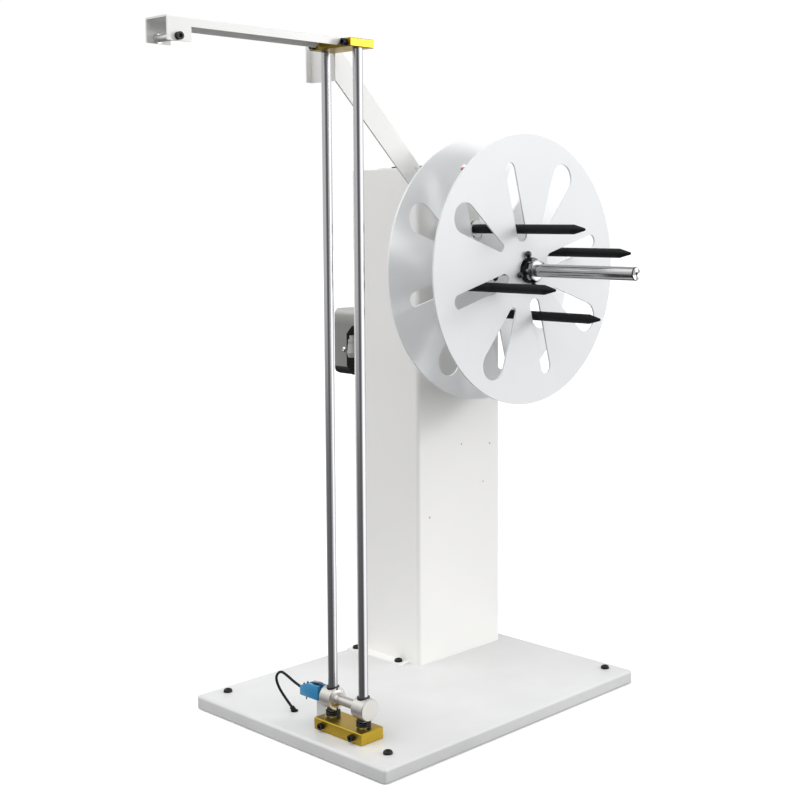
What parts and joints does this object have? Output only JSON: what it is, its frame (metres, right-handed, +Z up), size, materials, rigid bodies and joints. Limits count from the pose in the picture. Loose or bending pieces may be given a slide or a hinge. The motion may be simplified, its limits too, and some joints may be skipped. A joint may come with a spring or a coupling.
{
  "type": "spooling machine",
  "caption": "Floor machine that winds strand into coils between two slotted discs on a belt-driven spindle, with a dancer bar on twin guide rods and an overhead guide arm.",
  "frame": {"origin": "on the floor, under the middle of the whole machine seen from above", "axes": "+Z up; +X along the spindle, out of the column towards its free end; the guide arm reaches towards -Y"},
  "size_m": [0.533, 0.7656, 0.8712],
  "materials": {
    "white_paint": "satin powder coat",
    "black_steel": "black oxide",
    "black_coat": "matt black coating",
    "bright_steel": "ground bar",
    "gold_anodised": "gold anodised",
    "turned_aluminium": "fine turned",
    "motor_casting": "painted casting",
    "black_plastic": "moulded",
    "blue_plastic": "moulded",
    "red_plastic": "moulded",
    "grey_plastic": "moulded",
    "black_rubber": "moulded",
    "bearing_steel": "ground",
    "cast_housing": "painted casting",
    "machined_steel": "turned",
    "controller_case": "extruded"
  },
  "bodies": {
    "frame": {"base_tray": "white_paint", "column_shell": "white_paint", "column_cover": "white_paint", "guide_arm": "white_paint", "brace_strut": "white_paint", "base_feet": "black_rubber", "drive_belt": "black_rubber", "sensor_cable": "black_rubber", "cable_grommet": "black_rubber", "base_screws": "black_steel", "cover_screws": "black_steel", "housing_screws": "black_steel", "rod_clamp_screws": "black_steel", "roller_axle": "black_steel", "frame_screws": "black_steel", "sensor_screws": "black_steel", "stop_springs": "black_steel", "motor_screws": "black_steel", "switch_bezel": "black_plastic", "motor_terminal_box": "black_plastic", "guide_rod_1": "bright_steel", "guide_rod_2": "bright_steel", "lower_rod_block": "gold_anodised", "upper_rod_block": "gold_anodised", "sensor_bracket": "machined_steel", "motor_body": "motor_casting", "sensor_body": "blue_plastic", "cable_glands": "grey_plastic", "spindle_bearings": "bearing_steel", "front_bearing_housing": "cast_housing", "rear_bearing_housing": "cast_housing", "speed_controller": "controller_case"},
    "spool": {"spindle_shaft": "bright_steel", "rear_disc": "white_paint", "rear_hub": "turned_aluminium", "hub_bolts": "black_steel", "driven_pulley": "turned_aluminium"},
    "motor_output": {"motor_shaft": "bright_steel", "drive_pulley": "turned_aluminium"},
    "front_flange": {"front_disc": "white_paint", "front_hub": "turned_aluminium", "screw_collar": "black_coat", "ring_nut": "machined_steel"},
    "dancer": {"dancer_bar": "turned_aluminium", "dancer_bushes": "black_plastic"},
    "lever": {"sensor_lever": "machined_steel"},
    "roller": {"guide_roller": "turned_aluminium"},
    "rocker": {"switch_rocker": "red_plastic"},
    "arm_1": {"winding_arm_1": "black_coat", "arm_nut_1": "black_steel"},
    "lock_1": {"lock_screw_1": "black_plastic"},
    "arm_2": {"winding_arm_2": "black_coat", "arm_nut_2": "black_steel"},
    "lock_2": {"lock_screw_2": "black_plastic"},
    "arm_3": {"winding_arm_3": "black_coat", "arm_nut_3": "black_steel"},
    "lock_3": {"lock_screw_3": "black_plastic"},
    "arm_4": {"winding_arm_4": "black_coat", "arm_nut_4": "black_steel"},
    "lock_4": {"lock_screw_4": "black_plastic"}
  },
  "joints": [
    {"name": "spool_spin", "type": "hinge", "parent": "frame", "child": "spool", "pos_m": [0.0005, 0.19775, 0.5865], "axis": [1, 0, 0], "continuous": true},
    {"name": "motor_spin", "type": "hinge", "parent": "frame", "child": "motor_output", "pos_m": [-0.1295, 0.19775, 0.4715], "axis": [1, 0, 0], "continuous": true},
    {"name": "flange_slide", "type": "slide", "parent": "spool", "child": "front_flange", "axis": [1, 0, 0], "range_m": [-0.07, 0.16]},
    {"name": "arm_slide_1", "type": "slide", "parent": "spool", "child": "arm_1", "axis": [0, -0.2672, 0.9636], "range_m": [-0.0075, 0.0825]},
    {"name": "arm_slide_2", "type": "slide", "parent": "spool", "child": "arm_2", "axis": [0, 0.9636, 0.2672], "range_m": [-0.036, 0.054]},
    {"name": "arm_slide_3", "type": "slide", "parent": "spool", "child": "arm_3", "axis": [0, 0.2672, -0.9636], "range_m": [-0.015, 0.075]},
    {"name": "arm_slide_4", "type": "slide", "parent": "spool", "child": "arm_4", "axis": [0, -0.9636, -0.2672], "range_m": [-0.027, 0.063]},
    {"name": "lock_turn_1", "type": "hinge", "parent": "front_flange", "child": "lock_1", "pos_m": [0.0879, 0.19321, 0.60288], "axis": [0, -0.2672, 0.9636], "range_deg": [0, 180]},
    {"name": "lock_turn_2", "type": "hinge", "parent": "front_flange", "child": "lock_2", "pos_m": [0.0879, 0.21413, 0.59104], "axis": [0, 0.9636, 0.2672], "range_deg": [0, 180]},
    {"name": "lock_turn_3", "type": "hinge", "parent": "front_flange", "child": "lock_3", "pos_m": [0.0879, 0.20229, 0.57012], "axis": [0, 0.2672, -0.9636], "range_deg": [0, 180]},
    {"name": "lock_turn_4", "type": "hinge", "parent": "front_flange", "child": "lock_4", "pos_m": [0.0879, 0.18137, 0.58196], "axis": [0, -0.9636, -0.2672], "range_deg": [0, 180]},
    {"name": "dancer_slide", "type": "slide", "parent": "frame", "child": "dancer", "axis": [0, 0, 1], "range_m": [0, 0.78]},
    {"name": "lever_press", "type": "hinge", "parent": "frame", "child": "lever", "pos_m": [0.0065, -0.13075, 0.0686], "axis": [0, 1, 0], "range_deg": [0, 8], "stiffness_Nm_per_rad": 0.02, "springref_deg": -5.73},
    {"name": "roller_spin", "type": "hinge", "parent": "frame", "child": "roller", "pos_m": [0.06925, -0.36975, 0.8475], "axis": [1, 0, 0], "continuous": true},
    {"name": "rocker_tilt", "type": "hinge", "parent": "frame", "child": "rocker", "pos_m": [-0.0875, 0.23525, 0.7245], "axis": [1, 0, 0], "range_deg": [0, 16]}
  ],
  "couplings": [
    {"joint": "motor_spin", "follows": "spool_spin", "ratio": 2.5}
  ]
}
